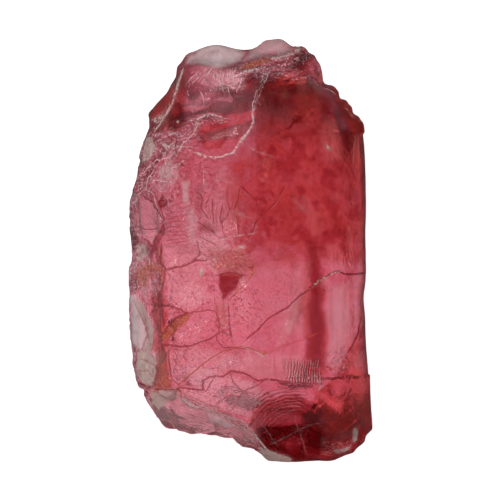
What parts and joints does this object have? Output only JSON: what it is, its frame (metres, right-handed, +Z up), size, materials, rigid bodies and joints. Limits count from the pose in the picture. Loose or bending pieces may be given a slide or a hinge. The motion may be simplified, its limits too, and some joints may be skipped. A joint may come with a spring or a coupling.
{
  "type": "rough rhodolite garnet",
  "caption": "Rough piece of clear raspberry-red garnet, longer than wide, with flat breaks, shallow chipped bowls and a frosted, uneven edge, lying on its flat back.",
  "frame": {"origin": "middle of the stone's box, at the flat break that it rests on", "axes": "+Y along the stone towards its capped end, +X to its right as seen from above, +Z up"},
  "size_m": [0.0126, 0.022, 0.0085],
  "materials": {
    "rhodolite": "clear raspberry-red crystal with a glassy to frosted break"
  },
  "bodies": {
    "root": {"garnet": "rhodolite"}
  },
  "joints": []
}
